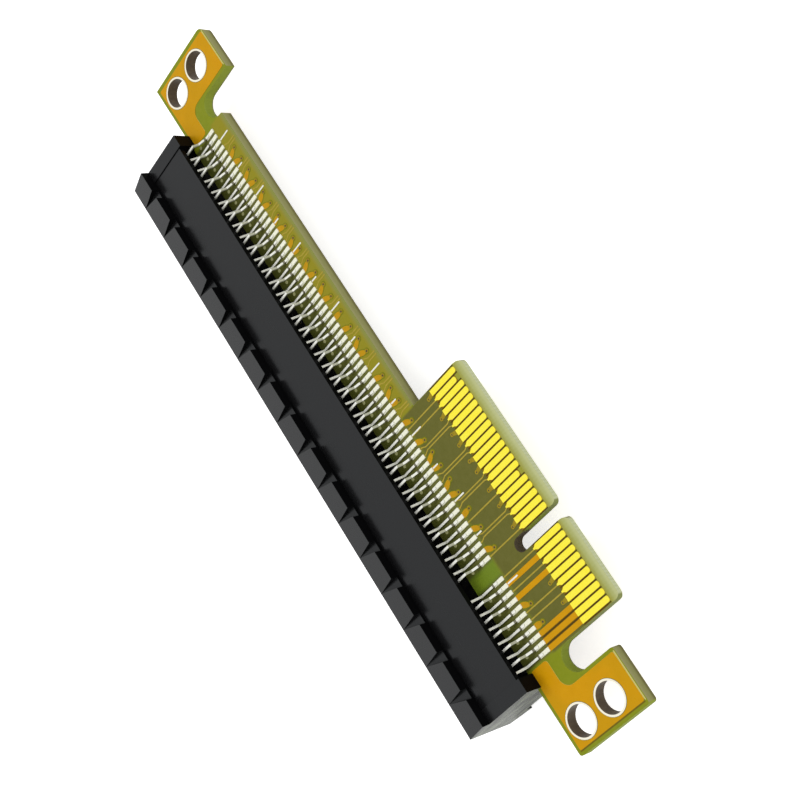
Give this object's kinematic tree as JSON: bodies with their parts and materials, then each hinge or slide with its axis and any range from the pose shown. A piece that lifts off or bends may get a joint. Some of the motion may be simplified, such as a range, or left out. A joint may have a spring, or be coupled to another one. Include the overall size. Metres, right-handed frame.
{
  "type": "pcie riser card",
  "caption": "Flat circuit board with gold edge fingers, screw tabs at both ends and a long black card socket straddling its lower edge.",
  "frame": {"origin": "centre of the bounding box's base: under the middle of the card, level with the lower lip ridge of the socket", "axes": "+X along the board towards contact 1, +Y from the socket's mouth to the finger edge, +Z out of the board's front face"},
  "size_m": [0.1068, 0.027, 0.0098],
  "materials": {
    "laminate": "olive-yellow solder mask over glass-epoxy board",
    "gold_plating": "gold flash over copper",
    "tin_plating": "tinned copper",
    "housing_plastic": "moulded, fine matt texture",
    "contact_metal": "tinned copper alloy strip"
  },
  "bodies": {
    "root": {"circuit_board": "laminate", "plated_holes": "tin_plating", "edge_fingers_front": "gold_plating", "edge_fingers_back": "gold_plating", "solder_pads_front": "tin_plating", "solder_pads_back": "tin_plating", "slot_housing": "housing_plastic", "contacts_front_odd": "contact_metal", "contacts_front_even": "contact_metal", "contacts_back_odd": "contact_metal", "contacts_back_even": "contact_metal"}
  },
  "joints": []
}
